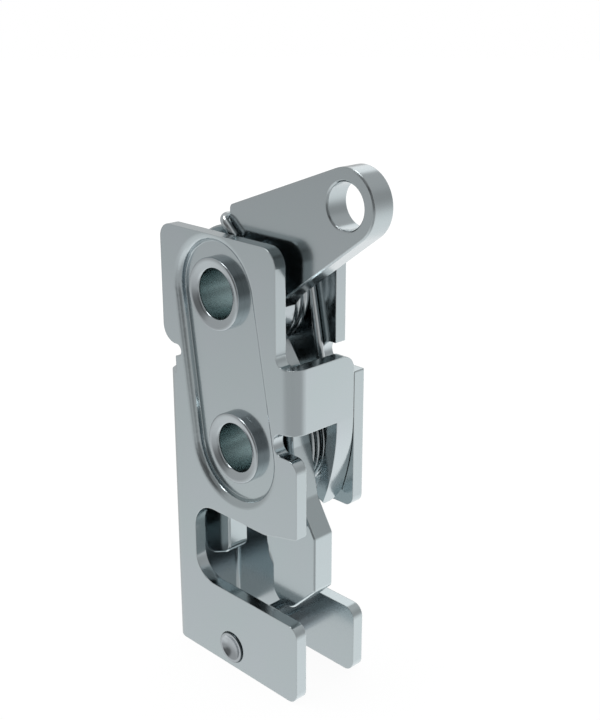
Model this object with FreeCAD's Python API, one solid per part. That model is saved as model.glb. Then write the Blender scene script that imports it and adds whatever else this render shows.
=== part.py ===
import FreeCAD, Part
import math
import os

# Side-entry rotary latch of zinc-plated steel, shown latched. Millimetres.
# Origin: on the rotor's axis, midway between the two side plates. +Z up, +X out of
# the mouth towards the striker, +Y along both pivot axes, away from the near plate.

vec = FreeCAD.Vector

# Housing: one folded sheet
sheet = 2.2
overall_width = 16.0
back_reach = 17.2
front_reach = 15.2
top_z = 35.6
bottom_z = -42.5
back_bend_r = 3.0
top_back_corner_r = 2.5
top_front_corner_r = 3.0
prong_corner_r = 2.0
edge_break = 0.25

# Upper part of the two plates
near_upper_front_x = 10.6
far_upper_front_x = 10.2

# Relief notches at the top of the back bends, and the lower edge of the back wall's opening
back_notch_x = -12.7
back_notch_bottom_z = 12.8
back_notch_height = 2.2
back_wing_corner_r = 3.0
back_wall_drop = 3.0

# Bridge, folded from the near plate across the front, and its tongue
bridge_reach = 14.5
bridge_bottom_z = 6.1
bridge_top_z = 17.0
bridge_bend_r = 2.8
bridge_end_gap = 0.15
bridge_corner_r = 2.6
tongue_width = 3.85
tongue_curl_r = 40.0
tongue_curl_deg = 23.0
tongue_far_corner_r = 2.6
tongue_near_corner_r = 0.6

# Relief notches below the bridge (near plate) and at its end (far plate)
near_notch_x = 9.86
near_notch_height = 4.0
far_notch_x = 7.32
far_notch_bottom_z = 13.9
far_notch_height = 3.75

# Mouth for the striker, one cut-out in each plate
near_mouth_back_x = -10.45
near_mouth_bottom_z = -27.85
near_mouth_top_z = -13.1
near_mouth_upper_r = 5.0
near_mouth_lower_r = 4.7
lip_flare_x = 7.6
lip_flare_rise = 1.8
far_mouth_back_x = -6.4
far_mouth_bottom_z = -29.95
far_mouth_top_z = -10.35
far_mouth_r = 4.0
far_front_corner_r = 1.8

# Recess pressed into the near plate round both pivots
recess_depth = 1.5
recess_upper_r = 8.65
recess_lower_r = 9.2
recess_draw = 0.25
recess_shoulder_r = 1.4
recess_foot_r = 0.12
bulge_edge_r = 0.5

# Pivot axes: the rotor's is the origin, the lever's is here
lever_axis_x = -4.08
lever_axis_z = 25.67

# Turned hollow bushes, which carry lever and rotor and take the mounting screws
bore_r = 4.15
bore_exit_r = 0.9
bush_head_r = 6.1
bush_head_edge_r = 0.3
bush_funnel_r = 5.5
bush_funnel_depth = 0.5
bush_funnel_crest_r = 1.0
bush_funnel_throat_r = 0.575
bush_spigot_r = 5.3
bush_journal_r = 6.6
bush_shoulder_r = 8.2
bush_flare = 0.9

# Running clearances
journal_clearance = 0.05
side_play = 0.4
shoulder_play = 0.3

# Lever and rotor are blanked from the same thick strip
blank = 4.3

# Lever
lever_hub_r = 10.75
lever_back_x = -4.35
lever_shoulder_z = 39.7
pull_hole_x = 21.0
pull_hole_z = 43.2
pull_hole_r = 3.6
pull_end_r = 5.7
arm_root_x = 8.5
arm_root_z = 26.8
pawl_root_x = 4.9
pawl_root_z = 18.9
pawl_knee_z = 14.7

# Pawl on the lever and catch on the rotor
pawl_heel_deg = 53.4
pawl_face = 1.7
pawl_floor_gap = 0.4
pawl_engagement = 0.9
catch_free_travel = 2.2
catch_corner_r = 0.3
catch_land_deg = 10.0
catch_land_r = 4.0

# Rotor
rotor_hub_r = 10.3
rotor_lean_deg = 10.8
rotor_neck_z = -7.2
hook_top_z = -12.6
hook_chamfer_z = -22.5
hook_tip_r = 3.3
slot_front_x = 5.1
slot_throat_z = -20.7
slot_centre_x = -1.2
slot_centre_z = -17.4
slot_r = 4.8
jaw_nose_z = -23.2
jaw_heel_z = -26.1
jaw_back_x = -13.0
jaw_shoulder_z = -12.0

# Torsion springs
spring_gap = 0.15
leg_bend_r = 3.0
hook_turn_r = 1.25

# Lever spring
lever_wire = 1.4
lever_coil_r = 9.45
lever_coil_pitch = 1.6
lever_coil_turns = 2
lever_leg_deg = 11.0
lever_hook_deg = 56.8
lever_leg_bend_z = 14.7
lever_leg_slant_deg = 50.0
lever_leg_foot = 2.4
hook_tail_fall_deg = 40.0
hook_tail = 3.0

# Rotor spring
rotor_wire = 1.2
rotor_coil_r = 9.4
rotor_coil_pitch = 1.35
rotor_coil_turns = 2
rotor_leg_deg = -76.0
rotor_fixed_leg_deg = 150.0
rotor_hook_depth = 2.6
rotor_leg_foot = 3.0

# Rivet through both plates near the bottom edge
rivet_x = -1.3
rivet_height = 3.8
rivet_head_r = 2.86
rivet_hole_clearance = 0.04
rivet_proud = 0.3
rivet_edge_r = 0.2
rivet_dimple_r = 2.3
rivet_dimple_depth = 0.8
rivet_body_r = 3.6

# Planes that follow from the sizes above
near_face = -overall_width / 2
far_face = overall_width / 2
near_inside = near_face + sheet
far_inside = far_face - sheet
recess_floor = near_face + recess_depth
rivet_z = bottom_z + rivet_height
bulge_face = recess_floor + sheet
blank_near = bulge_face + side_play
blank_far = blank_near + blank
shoulder_face = blank_far + shoulder_play
back_x = -back_reach
bend_line_x = back_x + back_bend_r
bridge_inside_x = bridge_reach - sheet
bridge_bend_x = bridge_reach - bridge_bend_r
bridge_end_y = far_inside - bridge_end_gap


def corner_wire(corners, place):
    """A closed outline through corners (a, b, radius), rounded by tangent arcs.
    place turns the outline's own (a, b) into a point in space."""
    points = [(a, b) for a, b, radius in corners]
    edges = []
    last_end = None
    first_start = None
    for i, (a, b, radius) in enumerate(corners):
        before = points[i - 1]
        after = points[(i + 1) % len(points)]
        to_before = unit(before[0] - a, before[1] - b)
        to_after = unit(after[0] - a, after[1] - b)
        start = (a, b)
        end = (a, b)
        arc = None
        if radius > 0:
            half = math.acos(to_before[0] * to_after[0] + to_before[1] * to_after[1]) / 2
            reach = radius / math.tan(half)
            start = (a + to_before[0] * reach, b + to_before[1] * reach)
            end = (a + to_after[0] * reach, b + to_after[1] * reach)
            inward = unit(to_before[0] + to_after[0], to_before[1] + to_after[1])
            depth = radius / math.sin(half) - radius
            middle = (a + inward[0] * depth, b + inward[1] * depth)
            arc = Part.Arc(place(*start), place(*middle), place(*end)).toShape()
        if last_end is not None:
            add_line(edges, place(*last_end), place(*start))
        else:
            first_start = start
        if arc is not None:
            edges.append(arc)
        last_end = end
    add_line(edges, place(*last_end), place(*first_start))
    return Part.Wire(edges)


def add_line(edges, start, end):
    """Appends a straight edge unless the two arcs beside it already meet."""
    if start.distanceToPoint(end) > 0.001:
        edges.append(Part.makeLine(start, end))


def unit(a, b):
    length = math.hypot(a, b)
    return a / length, b / length


def plate(corners, y_low, y_high):
    """A flat blank in the XZ plane between two heights in Y."""
    wire = corner_wire(corners, lambda x, z: vec(x, y_low, z))
    return Part.Face(wire).extrude(vec(0, y_high - y_low, 0))


def disc(x, z, radius, y_low, y_high):
    return Part.makeCylinder(radius, y_high - y_low, vec(x, y_low, z), vec(0, 1, 0))


def block(x_low, x_high, y_low, y_high, z_low, z_high):
    size = (x_high - x_low, y_high - y_low, z_high - z_low)
    return Part.makeBox(*size, vec(x_low, y_low, z_low))


def joined(shapes):
    """One clean solid from touching or overlapping solids."""
    return shapes[0].fuse(shapes[1:]).removeSplitter().Solids[0]


def nearest_edge(shape, direction, point):
    """The straight edge along a direction that passes closest to a point."""
    def along(edge):
        if edge.Curve.TypeId != "Part::GeomLine":
            return False
        return abs(edge.Curve.Direction.dot(direction)) > 0.999
    probe = Part.Vertex(point)
    straight = [edge for edge in shape.Edges if along(edge)]
    return min(straight, key=lambda edge: edge.distToShape(probe)[0])


def edges_on_plane(shape, y):
    """The edges that lie in the plane at this height in Y."""
    def flat(edge):
        box = edge.BoundBox
        return abs(box.YMin - y) < 0.001 and abs(box.YMax - y) < 0.001
    return [edge for edge in shape.Edges if flat(edge)]


def tangent_point(centre, radius, point, side):
    """Where a line from an outside point touches a circle, on its left (+1) or right (-1)."""
    dx = point[0] - centre[0]
    dz = point[1] - centre[1]
    turn = math.atan2(dz, dx) + side * math.acos(radius / math.hypot(dx, dz))
    return centre[0] + radius * math.cos(turn), centre[1] + radius * math.sin(turn)


def on_circle(radius, degrees, centre=(0.0, 0.0)):
    turn = math.radians(degrees)
    return centre[0] + radius * math.cos(turn), centre[1] + radius * math.sin(turn)


def two_circle_hull(grow, y_low, y_high):
    """The recess outline: circles about both axes joined by their common tangents."""
    upper_r = recess_upper_r + grow
    lower_r = recess_lower_r + grow
    pitch = math.hypot(lever_axis_x, lever_axis_z)
    line_deg = math.degrees(math.atan2(lever_axis_z, lever_axis_x))
    touch_deg = math.degrees(math.acos((lower_r - upper_r) / pitch))
    upper = (lever_axis_x, lever_axis_z)

    def at(radius, degrees, centre=(0.0, 0.0)):
        x, z = on_circle(radius, degrees, centre)
        return vec(x, y_low, z)

    left = line_deg + touch_deg
    right = line_deg - touch_deg
    top_arc = Part.Arc(at(upper_r, right, upper), at(upper_r, line_deg, upper), at(upper_r, left, upper))
    low_arc = Part.Arc(at(lower_r, left), at(lower_r, line_deg + 180), at(lower_r, right))
    edges = [
        top_arc.toShape(),
        Part.makeLine(at(upper_r, left, upper), at(lower_r, left)),
        low_arc.toShape(),
        Part.makeLine(at(lower_r, right), at(upper_r, right, upper)),
    ]
    return Part.Face(Part.Wire(edges)).extrude(vec(0, y_high - y_low, 0))


def near_plate():
    """The near plate, flat, with its mouth, its lip and its notches."""
    mouth_lip_z = near_mouth_top_z + lip_flare_rise
    lip_top_z = bridge_bottom_z - near_notch_height
    notch_r = near_notch_height / 2
    shoulder_z = bridge_top_z + near_notch_height
    corners = [
        (bend_line_x, bottom_z, 0),
        (front_reach, bottom_z, prong_corner_r),
        (front_reach, near_mouth_bottom_z, prong_corner_r),
        (near_mouth_back_x, near_mouth_bottom_z, near_mouth_lower_r),
        (near_mouth_back_x, near_mouth_top_z, near_mouth_upper_r),
        (lip_flare_x, near_mouth_top_z, back_bend_r),
        (front_reach, mouth_lip_z, edge_break),
        (front_reach, lip_top_z, prong_corner_r),
        (near_notch_x, lip_top_z, notch_r),
        (near_notch_x, bridge_bottom_z, notch_r),
        (bridge_bend_x, bridge_bottom_z, 0),
        (bridge_bend_x, shoulder_z, 0),
        (near_upper_front_x, shoulder_z, 0),
        (near_upper_front_x, top_z, top_front_corner_r),
    ]
    return plate(corners + back_corners(), near_face, near_inside)


def far_plate():
    """The far plate, flat, with its mouth and the notch at the bridge's end."""
    notch_r = far_notch_height / 2
    corners = [
        (bend_line_x, bottom_z, 0),
        (front_reach, bottom_z, prong_corner_r),
        (front_reach, far_mouth_bottom_z, prong_corner_r),
        (far_mouth_back_x, far_mouth_bottom_z, far_mouth_r),
        (far_mouth_back_x, far_mouth_top_z, far_mouth_r),
        (bridge_reach, far_mouth_top_z, far_front_corner_r),
        (bridge_reach, far_notch_bottom_z, edge_break),
        (far_notch_x, far_notch_bottom_z, notch_r),
        (far_notch_x, far_notch_bottom_z + far_notch_height, notch_r),
        (far_upper_front_x, far_notch_bottom_z + far_notch_height, 0),
        (far_upper_front_x, top_z, top_front_corner_r),
    ]
    return plate(corners + back_corners(), far_inside, far_face)


def back_corners():
    """The back edge of either plate, from the top down to the bend line."""
    wing_bottom_z = back_notch_bottom_z + back_notch_height
    notch_r = back_notch_height / 2
    return [
        (back_x, top_z, top_back_corner_r),
        (back_x, wing_bottom_z, back_wing_corner_r),
        (back_notch_x, wing_bottom_z, notch_r),
        (back_notch_x, back_notch_bottom_z, notch_r),
        (bend_line_x, back_notch_bottom_z, 0),
    ]


def back_wall():
    """The back wall with its two bends, and the edge that falls away round each bend."""
    inner_r = back_bend_r - sheet
    section = [
        (bend_line_x, near_face, 0),
        (back_x, near_face, back_bend_r),
        (back_x, far_face, back_bend_r),
        (bend_line_x, far_face, 0),
        (bend_line_x, far_inside, 0),
        (back_x + sheet, far_inside, inner_r),
        (back_x + sheet, near_inside, inner_r),
        (bend_line_x, near_inside, 0),
    ]
    wire = corner_wire(section, lambda x, y: vec(x, y, bottom_z))
    wall = Part.Face(wire).extrude(vec(0, 0, back_notch_bottom_z - bottom_z))
    for side in (-1, 1):
        wall = wall.cut(bend_edge_tool(side))
    return wall


def bend_edge_tool(side):
    """Trims the top of one back bend. It runs square to the sheet at the bend's middle,
    and its outline falls from the plate's edge to the back wall's edge."""
    across = vec(-1, -side, 0).normalize()
    through = vec(1, -side, 0).normalize()
    start = vec(bend_line_x, side * overall_width / 2, 0)
    width = back_reach
    low_z = back_notch_bottom_z - back_wall_drop
    high_z = back_notch_bottom_z + back_wall_drop
    corners = [
        (back_bend_r * 0.2, high_z, 0),
        (back_bend_r * 0.2, back_notch_bottom_z, 0),
        (back_bend_r * 0.45, back_notch_bottom_z, back_bend_r * 0.6),
        (back_bend_r * 1.3, low_z, back_bend_r * 0.3),
        (width, low_z, 0),
        (width, high_z, 0),
    ]

    def place(along, z):
        return start + across * along - through * width + vec(0, 0, z)

    return Part.Face(corner_wire(corners, place)).extrude(through * width * 2)


def bridge():
    """The bridge with its bend, and the concave run-out above it on the near plate."""
    inner_r = bridge_bend_r - sheet
    high_z = bridge_top_z + near_notch_height
    section = [
        (bridge_bend_x, near_face, 0),
        (bridge_reach, near_face, bridge_bend_r),
        (bridge_reach, bridge_end_y, 0),
        (bridge_inside_x, bridge_end_y, 0),
        (bridge_inside_x, near_inside, inner_r),
        (bridge_bend_x, near_inside, 0),
    ]
    wire = corner_wire(section, lambda x, y: vec(x, y, bridge_bottom_z))
    strip = Part.Face(wire).extrude(vec(0, 0, high_z - bridge_bottom_z))
    end_corner = [
        (near_face - 1, bridge_bottom_z, 0),
        (bridge_end_y, bridge_bottom_z, 0),
        (bridge_end_y, bridge_top_z, bridge_corner_r),
        (near_face - 1, bridge_top_z, 0),
    ]
    wire = corner_wire(end_corner, lambda y, z: vec(bridge_inside_x, y, z))
    front = Part.Face(wire).extrude(vec(sheet + 1, 0, 0))
    root = block(bridge_bend_x - 1, bridge_inside_x, near_face, bridge_end_y, bridge_bottom_z, high_z)
    return strip.common(front.fuse(root))


def bridge_top_tool():
    """Removes what stands above the bridge in front of the near plate's upper edge."""
    run_out_r = bridge_inside_x - near_upper_front_x
    high_z = bridge_top_z + 2 * near_notch_height
    corners = [
        (near_upper_front_x, high_z, 0),
        (near_upper_front_x, bridge_top_z, run_out_r),
        (bridge_reach + 1, bridge_top_z, 0),
        (bridge_reach + 1, high_z, 0),
    ]
    return plate(corners, near_face - 1, bridge_end_y)


def tongue():
    """The finger that hangs from the bridge and curls in towards the rotor."""
    near_side = bridge_end_y - tongue_width
    centre = (bridge_reach - tongue_curl_r, bridge_bottom_z)

    def at(radius, share):
        x, z = on_circle(radius, -tongue_curl_deg * share, centre)
        return vec(x, near_side, z)

    outer_r = tongue_curl_r
    inner_r = tongue_curl_r - sheet
    edges = [
        Part.Arc(at(outer_r, 0), at(outer_r, 0.5), at(outer_r, 1)).toShape(),
        Part.makeLine(at(outer_r, 1), at(inner_r, 1)),
        Part.Arc(at(inner_r, 1), at(inner_r, 0.5), at(inner_r, 0)).toShape(),
        Part.makeLine(at(inner_r, 0), at(outer_r, 0)),
    ]
    finger = Part.Face(Part.Wire(edges)).extrude(vec(0, tongue_width, 0))
    middle = at(tongue_curl_r - sheet / 2, 1)
    across = at(outer_r, 1) - at(inner_r, 1)
    across = across.normalize()
    far_tip = nearest_edge(finger, across, middle + vec(0, tongue_width, 0))
    finger = finger.makeFillet(tongue_far_corner_r, [far_tip])
    near_tip = nearest_edge(finger, across, middle)
    return finger.makeFillet(tongue_near_corner_r, [near_tip])


def housing():
    """The whole folded housing with its pressed recess, pivot holes and rivet holes."""
    shell = joined([near_plate(), far_plate(), back_wall(), bridge()])
    shell = shell.cut(bridge_top_tool())
    shell = joined([shell, tongue()])

    recess = two_circle_hull(0, near_face, recess_floor)
    recess = recess.makeFillet(recess_foot_r, edges_on_plane(recess, recess_floor))
    bulge = two_circle_hull(-recess_draw, near_inside - sheet / 2, bulge_face)
    bulge = bulge.makeFillet(bulge_edge_r, edges_on_plane(bulge, bulge_face))
    shell = joined([shell, bulge])
    shell = shell.cut(recess)
    reach = recess.BoundBox
    reach.enlarge(bulge_edge_r / 2)
    rim = [edge for edge in edges_on_plane(shell, near_face) if reach.isInside(edge.BoundBox)]
    shell = shell.makeFillet(recess_shoulder_r, rim)

    for x, z in ((0.0, 0.0), (lever_axis_x, lever_axis_z)):
        shell = shell.cut(disc(x, z, bush_spigot_r, near_face, bulge_face))
        shell = shell.cut(disc(x, z, bush_spigot_r, far_inside, far_face))
        shell = shell.cut(flare_cone(x, z))
    hole_r = rivet_head_r + rivet_hole_clearance
    shell = shell.cut(disc(rivet_x, rivet_z, hole_r, near_face, far_face))

    return shell.removeSplitter()


def flare_cone(x, z):
    """The countersink in the far plate, which the bush's riveted end fills."""
    start = vec(x, far_face - bush_flare, z)
    return Part.makeCone(bush_spigot_r, bush_spigot_r + bush_flare, bush_flare, start, vec(0, 1, 0))


def bush(x, z):
    """A hollow bush turned in one piece: a funnel-mouthed head in the recess, a journal,
    a shoulder that carries the coils, and a far end riveted flush."""
    outline = [
        (bore_r, near_face + bush_funnel_depth, bush_funnel_throat_r),
        (bush_funnel_r, near_face, bush_funnel_crest_r),
        (bush_head_r, near_face, bush_head_edge_r),
        (bush_head_r, recess_floor, 0),
        (bush_spigot_r, recess_floor, 0),
        (bush_spigot_r, bulge_face, 0),
        (bush_journal_r, bulge_face, 0),
        (bush_journal_r, shoulder_face, 0),
        (bush_shoulder_r, shoulder_face, 0),
        (bush_shoulder_r, far_inside, 0),
        (bush_spigot_r, far_inside, 0),
        (bush_spigot_r, far_face - bush_flare, 0),
        (bush_spigot_r + bush_flare, far_face, 0),
        (bore_r, far_face, 0),
    ]
    wire = corner_wire(outline, lambda r, y: vec(x + r, y, z))
    turned = Part.Face(wire).revolve(vec(x, 0, z), vec(0, 1, 0), 360)
    exit_rim = [edge for edge in edges_on_plane(turned, far_face) if is_bore_rim(edge)]
    return Part.Solid(turned).makeFillet(bore_exit_r, exit_rim)


def is_bore_rim(edge):
    if edge.Curve.TypeId != "Part::GeomCircle":
        return False
    return abs(edge.Curve.Radius - bore_r) < 0.001


def pawl_points():
    """Toe and heel of the pawl's end face. The face is square to the line from the heel
    to the lever's axis, so that the catch pushes straight at the pivot."""
    heel = on_circle(rotor_hub_r + pawl_floor_gap, pawl_heel_deg)
    towards = unit(lever_axis_x - heel[0], lever_axis_z - heel[1])
    toe = (heel[0] + towards[1] * pawl_face, heel[1] - towards[0] * pawl_face)
    return toe, heel


def lever():
    """The lever: an eye on the upper bush, a long arm with the pull hole and a pawl arm."""
    hub = disc(lever_axis_x, lever_axis_z, lever_hub_r, blank_near, blank_far)
    pull = (pull_hole_x, pull_hole_z)
    top = tangent_point(pull, pull_end_r, (lever_back_x, lever_shoulder_z), -1)
    under = tangent_point(pull, pull_end_r, (arm_root_x, arm_root_z), 1)
    arm = plate([
        (lever_back_x, lever_axis_z, 0),
        (lever_back_x, lever_shoulder_z, edge_break * 3),
        (top[0], top[1], 0),
        (pull[0], pull[1], 0),
        (under[0], under[1], 0),
        (arm_root_x, arm_root_z, 0),
        (lever_axis_x + lever_hub_r * 0.9, lever_axis_z - sheet, 0),
        (lever_axis_x, lever_axis_z - sheet, 0),
    ], blank_near, blank_far)
    eye = disc(pull[0], pull[1], pull_end_r, blank_near, blank_far)
    toe, heel = pawl_points()
    pawl = plate([
        (lever_axis_x, lever_axis_z, 0),
        (pawl_root_x, pawl_root_z, 0),
        (toe[0], pawl_knee_z, sheet),
        (toe[0], toe[1], catch_corner_r),
        (heel[0], heel[1], catch_corner_r),
        (heel[0] - pawl_engagement, heel[1] + pawl_face * 1.5, sheet),
        (lever_axis_x, lever_axis_z - lever_hub_r, 0),
    ], blank_near, blank_far)
    body = joined([hub, arm, eye, pawl])
    root = nearest_edge(body, vec(0, 1, 0), vec(pawl_root_x, 0, pawl_root_z))
    body = body.makeFillet(sheet, [root])
    body = body.cut(disc(lever_axis_x, lever_axis_z, bush_journal_r + journal_clearance, blank_near, blank_far))
    body = body.cut(disc(pull[0], pull[1], pull_hole_r, blank_near, blank_far))
    return broken_edges(body, blank_near, blank_far)


def broken_edges(body, *heights):
    """Takes the sharpness off the sheared edges on the flat faces."""
    edges = []
    for y in heights:
        edges += edges_on_plane(body, y)
    return body.makeChamfer(edge_break, edges)


def rotor():
    """The rotor: an eye on the lower bush, the hook that closes the mouth, the slot for
    the striker, the inner jaw and the catch under the pawl."""
    hub = disc(0, 0, rotor_hub_r, blank_near, blank_far)
    lean = math.radians(rotor_lean_deg)
    shoulder = on_circle(rotor_hub_r, rotor_lean_deg)
    neck_x = shoulder[0] + (shoulder[1] - rotor_neck_z) * math.tan(lean)
    tip_x = slot_front_x + hook_tip_r
    tip_z = hook_chamfer_z - (front_reach - tip_x) + hook_tip_r * math.sqrt(2)
    chamfer_end_x = front_reach - (hook_chamfer_z - (tip_z - hook_tip_r))
    body = plate([
        (0, 0, 0),
        (shoulder[0], shoulder[1], 0),
        (neck_x, rotor_neck_z, sheet),
        (front_reach, hook_top_z, sheet / 2),
        (front_reach, hook_chamfer_z, sheet / 2),
        (chamfer_end_x, tip_z - hook_tip_r, hook_tip_r),
        (slot_front_x, tip_z - hook_tip_r, hook_tip_r),
        (slot_front_x, slot_throat_z, sheet),
        (slot_centre_x + slot_r, slot_centre_z, 0),
        (slot_centre_x - slot_r, slot_centre_z, 0),
        (slot_centre_x - slot_r, jaw_nose_z, sheet),
        (jaw_back_x, jaw_heel_z, sheet),
        (jaw_back_x, jaw_shoulder_z, slot_r),
        tangent_point((0, 0), rotor_hub_r, (jaw_back_x, jaw_shoulder_z), -1) + (0,),
    ], blank_near, blank_far)
    body = joined([hub, body, catch()])
    body = body.cut(disc(slot_centre_x, slot_centre_z, slot_r, blank_near, blank_far))
    body = body.cut(disc(0, 0, bush_journal_r + journal_clearance, blank_near, blank_far))
    return broken_edges(body, blank_near, blank_far)


def catch():
    """The tooth on the rotor's rim. Its face stands square to the rim and runs into the
    pawl after the free travel."""
    heel_r = rotor_hub_r + pawl_floor_gap
    catch_r = heel_r + pawl_engagement
    face_deg = pawl_heel_deg - math.degrees(catch_free_travel / heel_r)
    root = on_circle(rotor_hub_r * 0.8, face_deg)
    crown = on_circle(catch_r, face_deg)
    land = on_circle(catch_r, face_deg - catch_land_deg)
    foot = on_circle(rotor_hub_r, rotor_lean_deg)
    inner = on_circle(rotor_hub_r * 0.8, rotor_lean_deg)
    return plate([
        (root[0], root[1], 0),
        (crown[0], crown[1], catch_corner_r),
        (land[0], land[1], catch_land_r),
        (foot[0], foot[1], 0),
        (inner[0], inner[1], 0),
    ], blank_near, blank_far)


def rivet():
    """The spacer rivet: a body between the plates and a shank end through each plate,
    dished where the riveting tool closed it."""
    ball_r = (rivet_dimple_r ** 2 + rivet_dimple_depth ** 2) / (2 * rivet_dimple_depth)
    shape = disc(rivet_x, rivet_z, rivet_body_r, near_inside, far_inside)
    near_end = near_face - rivet_proud
    far_end = far_face + rivet_proud
    shape = joined([shape, disc(rivet_x, rivet_z, rivet_head_r, near_end, far_end)])
    for end, inwards in ((near_end, 1), (far_end, -1)):
        outer = edges_on_plane(shape, end)
        shape = shape.makeFillet(rivet_edge_r, outer)
        ball_y = end + inwards * (rivet_dimple_depth - ball_r)
        shape = shape.cut(Part.makeSphere(ball_r, vec(rivet_x, ball_y, rivet_z)))
    return shape


class Route:
    """The centre line of a spring wire: tangent straights and bends from one end."""

    def __init__(self, point, direction):
        self.point = point
        self.direction = direction.normalize()
        self.edges = []

    def run(self, length):
        end = self.point + self.direction * length
        self.edges.append(Part.makeLine(self.point, end))
        self.point = end

    def bend(self, direction, radius):
        """A tangent arc that turns the wire into a new direction."""
        target = vec(direction).normalize()
        turn = self.direction.getAngle(target)
        side = (target - self.direction * self.direction.dot(target)).normalize()
        centre = self.point + side * radius
        middle = centre + self.direction * (radius * math.sin(turn / 2)) - side * (radius * math.cos(turn / 2))
        end = centre + self.direction * (radius * math.sin(turn)) - side * (radius * math.cos(turn))
        self.edges.append(Part.Arc(self.point, middle, end).toShape())
        self.point = end
        self.direction = target


def coil(axis, radius, pitch, start_deg, end_deg, start_y, side):
    """The coil's centre line, and a route off each of its two ends. It turns
    counter-clockwise as seen from the near plate and moves towards (+1) or away
    from (-1) the far plate as it turns."""
    turned = end_deg - start_deg
    rise = side * pitch * turned / 360
    helix = Part.makeHelix(pitch, abs(rise), radius)
    helix.rotate(vec(0, 0, 0), vec(1, 0, 0), 90)
    if side > 0:
        helix = helix.mirror(vec(0, 0, 0), vec(0, 1, 0))
    helix.rotate(vec(0, 0, 0), vec(0, -1, 0), start_deg)
    helix.translate(vec(axis[0], start_y, axis[1]))
    slope = side * pitch / (2 * math.pi * radius)

    def route(degrees, y, sense):
        x, z = on_circle(radius, degrees, axis)
        turn = math.radians(degrees)
        ahead = vec(-math.sin(turn), slope, math.cos(turn)) * sense
        leg = Route(vec(x, y, z), ahead)
        leg.bend(vec(ahead.x, 0, ahead.z), radius)
        return leg

    return helix, route(start_deg, start_y, -1), route(end_deg, start_y + rise, 1)


def swept_wire(helix, legs, diameter):
    """The round wire along its legs and coil, which meet tangentially."""
    edges = list(helix.Edges)
    for leg in legs:
        edges += leg.edges
    path = Part.Wire(Part.__sortEdges__(edges))
    end = legs[0]
    ring = Part.Wire(Part.makeCircle(diameter / 2, end.point, end.direction))
    return path.makePipeShell([ring], True, False)


def lever_spring():
    """Torsion spring of the lever. One leg runs down behind the bridge and bears on it,
    the other crosses behind the lever and hooks round its back edge."""
    axis = (lever_axis_x, lever_axis_z)
    wire_r = lever_wire / 2
    start_y = far_inside - spring_gap - wire_r
    end_deg = lever_hook_deg + 360 * lever_coil_turns
    helix, fixed, moving = coil(
        axis, lever_coil_r, lever_coil_pitch, lever_leg_deg, end_deg, start_y, -1)

    foot_x = bridge_inside_x - spring_gap - wire_r
    slant = math.radians(lever_leg_slant_deg)
    fixed.run((fixed.point.z - lever_leg_bend_z) / -fixed.direction.z)
    fixed.bend(vec(math.sin(slant), 0, -math.cos(slant)), leg_bend_r)
    last_bend_x = leg_bend_r * (1 - math.cos(slant))
    fixed.run((foot_x - last_bend_x - fixed.point.x) / math.sin(slant))
    fixed.bend(vec(0, 0, -1), leg_bend_r)
    fixed.run(lever_leg_foot)

    hook_x = lever_back_x - spring_gap - wire_r
    near_y = blank_near - spring_gap - wire_r
    moving.run((hook_x - moving.point.x) / moving.direction.x - hook_turn_r)
    moving.bend(vec(0, -1, 0), hook_turn_r)
    moving.run(moving.point.y - near_y - hook_turn_r)
    fall = math.radians(hook_tail_fall_deg)
    moving.bend(vec(math.cos(fall), 0, -math.sin(fall)), hook_turn_r)
    moving.run(hook_tail)
    return swept_wire(helix, (fixed, moving), lever_wire)


def rotor_spring():
    """Torsion spring of the rotor. One leg bears on the back wall, the other lies across
    the rotor and hooks round the inner jaw's back edge."""
    wire_r = rotor_wire / 2
    start_y = blank_far + spring_gap + wire_r
    end_deg = rotor_fixed_leg_deg + 360 * rotor_coil_turns
    helix, moving, fixed = coil(
        (0.0, 0.0), rotor_coil_r, rotor_coil_pitch, rotor_leg_deg, end_deg, start_y, 1)

    hook_x = jaw_back_x - spring_gap - wire_r
    moving.run((hook_x - moving.point.x) / moving.direction.x - hook_turn_r)
    moving.bend(vec(0, -1, 0), hook_turn_r)
    moving.run(rotor_hook_depth)

    foot_x = back_x + sheet + spring_gap + wire_r
    lean = math.atan2(-fixed.direction.x, -fixed.direction.z)
    last_bend_x = leg_bend_r * (1 - math.cos(lean))
    fixed.run((foot_x + last_bend_x - fixed.point.x) / fixed.direction.x)
    fixed.bend(vec(0, 0, -1), leg_bend_r)
    fixed.run(rotor_leg_foot)
    return swept_wire(helix, (moving, fixed), rotor_wire)


if __name__ == "__main__":
    os.makedirs("parts", exist_ok=True)
    parts = {
        "housing": housing(),
        "lever": lever(),
        "rotor": rotor(),
        "lever_bush": bush(lever_axis_x, lever_axis_z),
        "rotor_bush": bush(0.0, 0.0),
        "base_rivet": rivet(),
        "lever_spring": lever_spring(),
        "rotor_spring": rotor_spring(),
    }
    for name, shape in parts.items():
        print(name, shape.ShapeType, shape.isValid(), len(shape.Solids), round(shape.Volume, 1))
        shape.exportStep("parts/" + name + ".step")
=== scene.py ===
import math

import bmesh
import bpy
from mathutils import Matrix, Vector


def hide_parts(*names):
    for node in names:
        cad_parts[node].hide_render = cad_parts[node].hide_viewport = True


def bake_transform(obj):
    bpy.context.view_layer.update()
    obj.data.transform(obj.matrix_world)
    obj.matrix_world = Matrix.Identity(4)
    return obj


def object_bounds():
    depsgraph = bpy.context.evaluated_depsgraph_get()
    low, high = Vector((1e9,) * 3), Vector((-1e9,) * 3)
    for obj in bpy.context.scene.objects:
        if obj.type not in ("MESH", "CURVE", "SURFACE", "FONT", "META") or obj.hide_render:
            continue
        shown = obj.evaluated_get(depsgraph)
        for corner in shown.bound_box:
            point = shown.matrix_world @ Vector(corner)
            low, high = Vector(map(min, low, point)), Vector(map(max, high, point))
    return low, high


MM = 0.001

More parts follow.
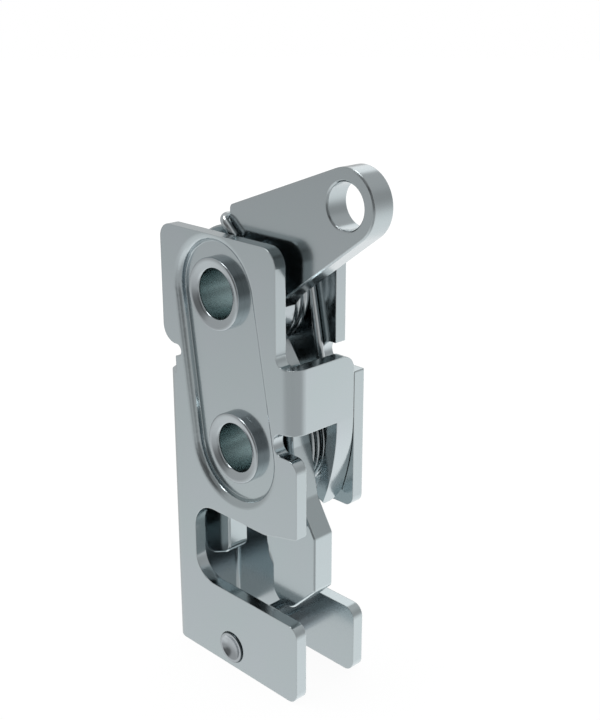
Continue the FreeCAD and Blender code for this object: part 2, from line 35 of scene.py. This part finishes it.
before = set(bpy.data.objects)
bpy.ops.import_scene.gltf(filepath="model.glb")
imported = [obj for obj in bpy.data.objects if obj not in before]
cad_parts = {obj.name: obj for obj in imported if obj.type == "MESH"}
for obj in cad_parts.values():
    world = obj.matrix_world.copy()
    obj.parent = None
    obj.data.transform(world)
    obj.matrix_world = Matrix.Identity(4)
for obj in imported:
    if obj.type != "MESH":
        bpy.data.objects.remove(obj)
cad_low, cad_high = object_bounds()

# Camera, from the photograph
CAMERA_PLACE = Vector((134.82, -124.36, 78.44)) * MM
CAMERA_AZIMUTH = math.radians(45.6)
CAMERA_ELEVATION = math.radians(19.47)
CAMERA_LENS = 58.5
SENSOR = 36.0
NEAR_CLIP = 0.005
FAR_CLIP = 20.0

# Floor: white to the eye, with this share of the part's shadow, which fades out between two distances
WHITE = "#FFFFFF"
FLOOR_COLOUR = "#F4F5F5"
FLOOR_RADIUS = 1.2
FLOOR_SIDES = 96
FLOOR_GLOW = 1.05
SHADOW_SHARE = 0.10
SHADOW_NEAR = 0.06
SHADOW_FAR = 0.25

# Room that the metal mirrors: its level, and where it is brighter or dimmer, in degrees
ROOM_LEVEL = 0.55
ROOM_DARKEST = 0.12
ROOM_LOBES = (
    # azimuth, elevation, cosine where it starts, cosine where it is full, level added
    (85, -50, 0.32, 0.97, 0.66),
    (-140, -60, 0.55, 0.98, 0.34),
    (122, 29, 0.938, 0.990, 0.78),
    (150, 4, 0.90, 0.985, 0.08),
    (-95, 10, 0.86, 0.985, -0.36),
    (-52, 14, 0.84, 0.95, -0.32),
    (-84, 46, 0.82, 0.96, -0.25),
    (-75, -50, 0.90, 0.985, 0.20),
    (90, 42, 0.80, 0.97, 0.08),
    (46, 8, 0.90, 0.985, -0.06),
)

# Lamp above the part
LAMP_DIRECTION = (-0.12, -0.08, 0.97)
LAMP_DISTANCE = 0.6
LAMP_SIDE = 0.24
LAMP_POWER = 0.9

# Zinc plating: the tints' drift and the crystal grain in millimetres, the grain's gloss either way
TINT_DRIFT = 9
GRAIN_SIZE = 0.35
GRAIN_DEPTH = 0.004
GRAIN_RELIEF = 0.05
GRAIN_GLOSS = 0.02

# Edge rounding that the plating leaves on stamped and turned edges, and the painted highlight that brightens
# the rounded edges
STAMPED_EDGE = 0.20 * MM
TURNED_EDGE = 0.12 * MM
EDGE_SAMPLES = 6
EDGE_HIGHLIGHT_STARTS = 0.995
EDGE_HIGHLIGHT_FULL = 0.86
EDGE_HIGHLIGHT_SHARE = 0.35
EDGE_HIGHLIGHT_COLOUR = "#EEF3F4"

# Axes along Y: the rotor's, the lever's and the rivet's. Radii of the bores and of the rivet's end
ROTOR_AXIS = Vector((0, 0, 0))
LEVER_AXIS = Vector((-4.08, 0, 25.67)) * MM
RIVET_AXIS = Vector((-1.3, 0, -38.7)) * MM
BORE_RADIUS = 4.15 * MM
RIVET_RADIUS = 2.86 * MM

# Plated pieces by CAD node: material, greener tint, lilac tint, roughness, edge rounding
PLATED = {
    "housing": ("zinc_plated_sheet", "#B7C3C4", "#BBC2C7", 0.17, STAMPED_EDGE),
    "lever": ("zinc_plated_lever", "#B0BBBD", "#B3B9BD", 0.17, STAMPED_EDGE),
    "rotor": ("zinc_plated_rotor", "#B8C5C7", "#BBC3C7", 0.17, STAMPED_EDGE),
    "lever_bush": ("zinc_plated_lever_bush", "#B7C1C3", "#BABFC4", 0.14, TURNED_EDGE),
    "rotor_bush": ("zinc_plated_rotor_bush", "#B7C1C3", "#BABFC4", 0.14, TURNED_EDGE),
    "base_rivet": ("zinc_plated_rivet", "#AEB7BA", "#B2B6BB", 0.16, TURNED_EDGE),
}

# Painted shade in the bores and round the rivet's end, duller there too: axis, inner radius, outer radius,
# fade, colour
PAINTED_SHADE_DULLNESS = 0.12
PAINTED_SHADE = {
    # Painted shade: the bores' walls darker and duller.
    "lever_bush": (LEVER_AXIS, 0.0, BORE_RADIUS, 0.06 * MM, "#A9B7B8"),
    "rotor_bush": (ROTOR_AXIS, 0.0, BORE_RADIUS, 0.06 * MM, "#A9B7B8"),
    # Painted shade: a dark ring round the rivet's end, where its edge meets the plate.
    "base_rivet": (RIVET_AXIS, 0.97 * RIVET_RADIUS, 1.03 * RIVET_RADIUS, 0.10 * MM, "#4A5357"),
}

# Spring wire: its drawing lines in millimetres, and its roughness on them and between them
DRAWN_LINE = 0.8
WIRE_DARK = "#B9C0C3"
WIRE_LIGHT = "#D2D8DA"
WIRE_SMOOTH = 0.14
WIRE_ROUGH = 0.24
WELD = 0.001 * MM


def linear(code):
    """An sRGB hex colour as linear RGBA."""
    parts = [int(code[i:i + 2], 16) / 255 for i in (1, 3, 5)]
    return [p / 12.92 if p <= 0.04045 else ((p + 0.055) / 1.055) ** 2.4 for p in parts] + [1.0]


def add(tree, kind, inputs=None, **settings):
    """A node with its settings, its values and its links."""
    node = tree.nodes.new(kind)
    for name, value in settings.items():
        setattr(node, name, value)
    for socket, value in (inputs or {}).items():
        if isinstance(value, bpy.types.NodeSocket):
            tree.links.new(value, node.inputs[socket])
        else:
            node.inputs[socket].default_value = value
    return node


def per_mm(size):
    """The texture scale that gives marks about this many millimetres wide."""
    return 1 / (size * MM)


def new_material(name):
    material = bpy.data.materials.new(name)
    material.use_nodes = True
    material.node_tree.nodes.clear()
    return material


def zinc_plate(name, green, lilac, roughness, edge):
    """Bright zinc plating on steel: a satin metal, faintly green and lilac where its passivation is thicker.

    The crystal grain shows as a faint change of gloss, and a painted highlight makes the plating
    brighter along the rounded edges."""
    material = new_material(name)
    tree = material.node_tree
    place = add(tree, "ShaderNodeTexCoord").outputs["Object"]
    drift = add(tree, "ShaderNodeTexNoise", {"Vector": place, "Scale": per_mm(TINT_DRIFT), "Detail": 2.0})
    tint = add(tree, "ShaderNodeMix",
               {"Factor": drift.outputs["Fac"], "A": linear(green), "B": linear(lilac)}, data_type="RGBA")
    rounded = add(tree, "ShaderNodeBevel", {"Radius": edge}, samples=EDGE_SAMPLES)
    flat = add(tree, "ShaderNodeNewGeometry")
    facing = add(tree, "ShaderNodeVectorMath",
                 {0: rounded.outputs["Normal"], 1: flat.outputs["Normal"]}, operation="DOT_PRODUCT")
    # Painted highlight: the colour turns paler along the edges, where the rounded normal leans away from the
    # flat one.
    edge_highlight = add(tree, "ShaderNodeMapRange",
               {"Value": facing.outputs["Value"], "From Min": EDGE_HIGHLIGHT_STARTS, "From Max": EDGE_HIGHLIGHT_FULL,
                "To Max": EDGE_HIGHLIGHT_SHARE})
    colour = add(tree, "ShaderNodeMix",
                 {"Factor": edge_highlight.outputs["Result"], "A": tint.outputs["Result"],
                  "B": linear(EDGE_HIGHLIGHT_COLOUR)}, data_type="RGBA")
    # The crystals are about 0.05 mm across and are drawn as coarse as they need to show.
    crystals = add(tree, "ShaderNodeTexNoise", {"Vector": place, "Scale": per_mm(GRAIN_SIZE), "Detail": 3.0})
    gloss = add(tree, "ShaderNodeMapRange",
                {"Value": crystals.outputs["Fac"], "From Min": 0.3, "From Max": 0.7,
                 "To Min": roughness - GRAIN_GLOSS, "To Max": roughness + GRAIN_GLOSS})
    relief = add(tree, "ShaderNodeBump",
                 {"Height": crystals.outputs["Fac"], "Strength": GRAIN_RELIEF,
                  "Distance": GRAIN_DEPTH * MM, "Normal": rounded.outputs["Normal"]})
    metal = add(tree, "ShaderNodeBsdfPrincipled",
                {"Base Color": colour.outputs["Result"], "Metallic": 1.0,
                 "Roughness": gloss.outputs["Result"], "Normal": relief.outputs["Normal"]})
    add(tree, "ShaderNodeOutputMaterial", {"Surface": metal.outputs["BSDF"]})
    return material


def dark_ring(material, axis, inner, outer, fade, code):
    """Painted shade on a plated piece, darker and duller, between two radii round an axis along Y."""
    tree = material.node_tree
    metal = tree.nodes["Principled BSDF"]
    place = add(tree, "ShaderNodeTexCoord").outputs["Object"]
    across = add(tree, "ShaderNodeVectorMath", {0: place, 1: axis}, operation="SUBTRACT")
    flat = add(tree, "ShaderNodeVectorMath",
               {0: across.outputs["Vector"], 1: (1.0, 0.0, 1.0)}, operation="MULTIPLY")
    out = add(tree, "ShaderNodeVectorMath", {0: flat.outputs["Vector"]}, operation="LENGTH")
    within = add(tree, "ShaderNodeMapRange",
                 {"Value": out.outputs["Value"], "From Min": outer + fade, "From Max": outer})
    beyond = add(tree, "ShaderNodeMapRange",
                 {"Value": out.outputs["Value"], "From Min": inner - fade, "From Max": inner})
    painted_shade = add(tree, "ShaderNodeMath",
               {0: within.outputs["Result"], 1: beyond.outputs["Result"]}, operation="MULTIPLY")
    tint = add(tree, "ShaderNodeMix",
               {"Factor": painted_shade.outputs["Value"], "A": metal.inputs["Base Color"].links[0].from_socket,
                "B": linear(code)}, data_type="RGBA")
    gloss = add(tree, "ShaderNodeMath",
                {0: painted_shade.outputs["Value"], 1: PAINTED_SHADE_DULLNESS,
                 2: metal.inputs["Roughness"].links[0].from_socket}, operation="MULTIPLY_ADD")
    tree.links.new(tint.outputs["Result"], metal.inputs["Base Color"])
    tree.links.new(gloss.outputs["Value"], metal.inputs["Roughness"])


def spring_steel(name):
    """Bright drawn spring wire: a glossy metal with faint lines from its drawing."""
    material = new_material(name)
    tree = material.node_tree
    place = add(tree, "ShaderNodeTexCoord").outputs["Object"]
    streaks = add(tree, "ShaderNodeTexNoise", {"Vector": place, "Scale": per_mm(DRAWN_LINE), "Detail": 2.0})
    tint = add(tree, "ShaderNodeMix",
               {"Factor": streaks.outputs["Fac"], "A": linear(WIRE_DARK), "B": linear(WIRE_LIGHT)},
               data_type="RGBA")
    gloss = add(tree, "ShaderNodeMapRange",
                {"Value": streaks.outputs["Fac"], "To Min": WIRE_SMOOTH, "To Max": WIRE_ROUGH})
    metal = add(tree, "ShaderNodeBsdfPrincipled",
                {"Base Color": tint.outputs["Result"], "Metallic": 1.0, "Roughness": gloss.outputs["Result"]})
    add(tree, "ShaderNodeOutputMaterial", {"Surface": metal.outputs["BSDF"]})
    return material


def finish_node(name, material):
    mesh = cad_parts[name].data
    for index in range(len(mesh.materials)):
        mesh.materials[index] = material


def wire_piece(name, node, material):
    """A spring's wire: a welded, smooth-shaded copy of its CAD node, which it hides."""
    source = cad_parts[node]
    shape = bmesh.new()
    shape.from_mesh(source.data)
    shape.transform(source.matrix_world)
    bmesh.ops.remove_doubles(shape, verts=shape.verts, dist=WELD)
    mesh = bpy.data.meshes.new(name)
    shape.to_mesh(mesh)
    shape.free()
    mesh.materials.clear()
    mesh.materials.append(material)
    mesh.shade_smooth()
    piece = bpy.data.objects.new(name, mesh)
    bpy.context.scene.collection.objects.link(piece)
    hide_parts(node)
    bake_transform(piece)


def studio_floor():
    """A pale floor, white to the eye, which keeps a faint shadow of the part."""
    shape = bmesh.new()
    bmesh.ops.create_circle(shape, cap_ends=True, radius=FLOOR_RADIUS, segments=FLOOR_SIDES,
                            matrix=Matrix.Translation((0, 0, cad_low.z)))
    mesh = bpy.data.meshes.new("floor")
    shape.to_mesh(mesh)
    shape.free()
    floor = bpy.data.objects.new("floor", mesh)
    bpy.context.scene.collection.objects.link(floor)
    floor.visible_glossy = False
    material = new_material("white_floor")
    tree = material.node_tree
    rays = add(tree, "ShaderNodeLightPath")
    place = add(tree, "ShaderNodeTexCoord").outputs["Object"]
    away = add(tree, "ShaderNodeVectorMath", {0: place}, operation="LENGTH")
    glow = add(tree, "ShaderNodeMapRange",
               {"Value": away.outputs["Value"], "From Min": SHADOW_NEAR, "From Max": SHADOW_FAR,
                "To Min": 1.0 - SHADOW_SHARE}, interpolation_type="SMOOTHSTEP")
    matt = add(tree, "ShaderNodeBsdfDiffuse", {"Color": linear(FLOOR_COLOUR)})
    white = add(tree, "ShaderNodeEmission", {"Color": linear(WHITE), "Strength": FLOOR_GLOW})
    seen = add(tree, "ShaderNodeMixShader",
               {"Fac": glow.outputs["Result"], 1: matt.outputs["BSDF"], 2: white.outputs["Emission"]})
    surface = add(tree, "ShaderNodeMixShader",
                  {"Fac": rays.outputs["Is Camera Ray"], 1: matt.outputs["BSDF"],
                   2: seen.outputs["Shader"]})
    add(tree, "ShaderNodeOutputMaterial", {"Surface": surface.outputs["Shader"]})
    mesh.materials.append(material)


def towards(azimuth, elevation):
    """The unit vector at an azimuth from +X and an elevation, in degrees."""
    a, e = math.radians(azimuth), math.radians(elevation)
    return (math.cos(a) * math.cos(e), math.sin(a) * math.cos(e), math.sin(e))


def studio_world():
    """A soft pale room, white to the eye. In the metal it is brightest low at the back and dim at the front."""
    world = bpy.data.worlds.new("studio")
    world.use_nodes = True
    bpy.context.scene.world = world
    tree = world.node_tree
    tree.nodes.clear()
    rays = add(tree, "ShaderNodeLightPath")
    direction = add(tree, "ShaderNodeTexCoord").outputs["Generated"]
    level = ROOM_LEVEL
    for azimuth, elevation, start, full, gain in ROOM_LOBES:
        near = add(tree, "ShaderNodeVectorMath", {0: direction, 1: towards(azimuth, elevation)},
                   operation="DOT_PRODUCT")
        share = add(tree, "ShaderNodeMapRange",
                    {"Value": near.outputs["Value"], "From Min": start, "From Max": full},
                    interpolation_type="SMOOTHSTEP")
        level = add(tree, "ShaderNodeMath", {0: share.outputs["Result"], 1: gain, 2: level},
                    operation="MULTIPLY_ADD").outputs["Value"]
    level = add(tree, "ShaderNodeMath", {0: level, 1: ROOM_DARKEST}, operation="MAXIMUM").outputs["Value"]
    room = add(tree, "ShaderNodeBackground", {"Color": linear(WHITE), "Strength": level})
    white = add(tree, "ShaderNodeBackground", {"Color": linear(WHITE), "Strength": 1.0})
    both = add(tree, "ShaderNodeMixShader",
               {"Fac": rays.outputs["Is Camera Ray"], 1: room.outputs["Background"],
                2: white.outputs["Background"]})
    add(tree, "ShaderNodeOutputWorld", {"Surface": both.outputs["Shader"]})


def top_light():
    """A square soft box above the part, which faces its middle."""
    lamp = bpy.data.lights.new("top_light", "AREA")
    lamp.shape = "SQUARE"
    lamp.size = LAMP_SIDE
    lamp.energy = LAMP_POWER
    holder = bpy.data.objects.new("top_light", lamp)
    bpy.context.scene.collection.objects.link(holder)
    outward = Vector(LAMP_DIRECTION).normalized()
    holder.location = outward * LAMP_DISTANCE
    holder.rotation_mode = "QUATERNION"
    holder.rotation_quaternion = outward.to_track_quat("Z", "Y")


def photo_camera():
    data = bpy.data.cameras.new("photo_camera")
    data.lens = CAMERA_LENS
    data.sensor_width = SENSOR
    data.sensor_height = SENSOR
    data.sensor_fit = "VERTICAL"
    data.clip_start = NEAR_CLIP
    data.clip_end = FAR_CLIP
    camera = bpy.data.objects.new("photo_camera", data)
    bpy.context.scene.collection.objects.link(camera)
    camera.location = CAMERA_PLACE
    camera.rotation_euler = (math.pi / 2 - CAMERA_ELEVATION, 0, CAMERA_AZIMUTH)
    bpy.context.scene.camera = camera


for node, look in PLATED.items():
    plating = zinc_plate(*look)
    if node in PAINTED_SHADE:
        dark_ring(plating, *PAINTED_SHADE[node])
    finish_node(node, plating)

wire_steel = spring_steel("bright_spring_wire")
finish_node("lever_spring", wire_steel)
finish_node("rotor_spring", wire_steel)
wire_piece("lever_spring_wire", "lever_spring", wire_steel)
wire_piece("rotor_spring_wire", "rotor_spring", wire_steel)

studio_floor()
studio_world()
top_light()
photo_camera()
bpy.context.scene.view_settings.view_transform = "Standard"
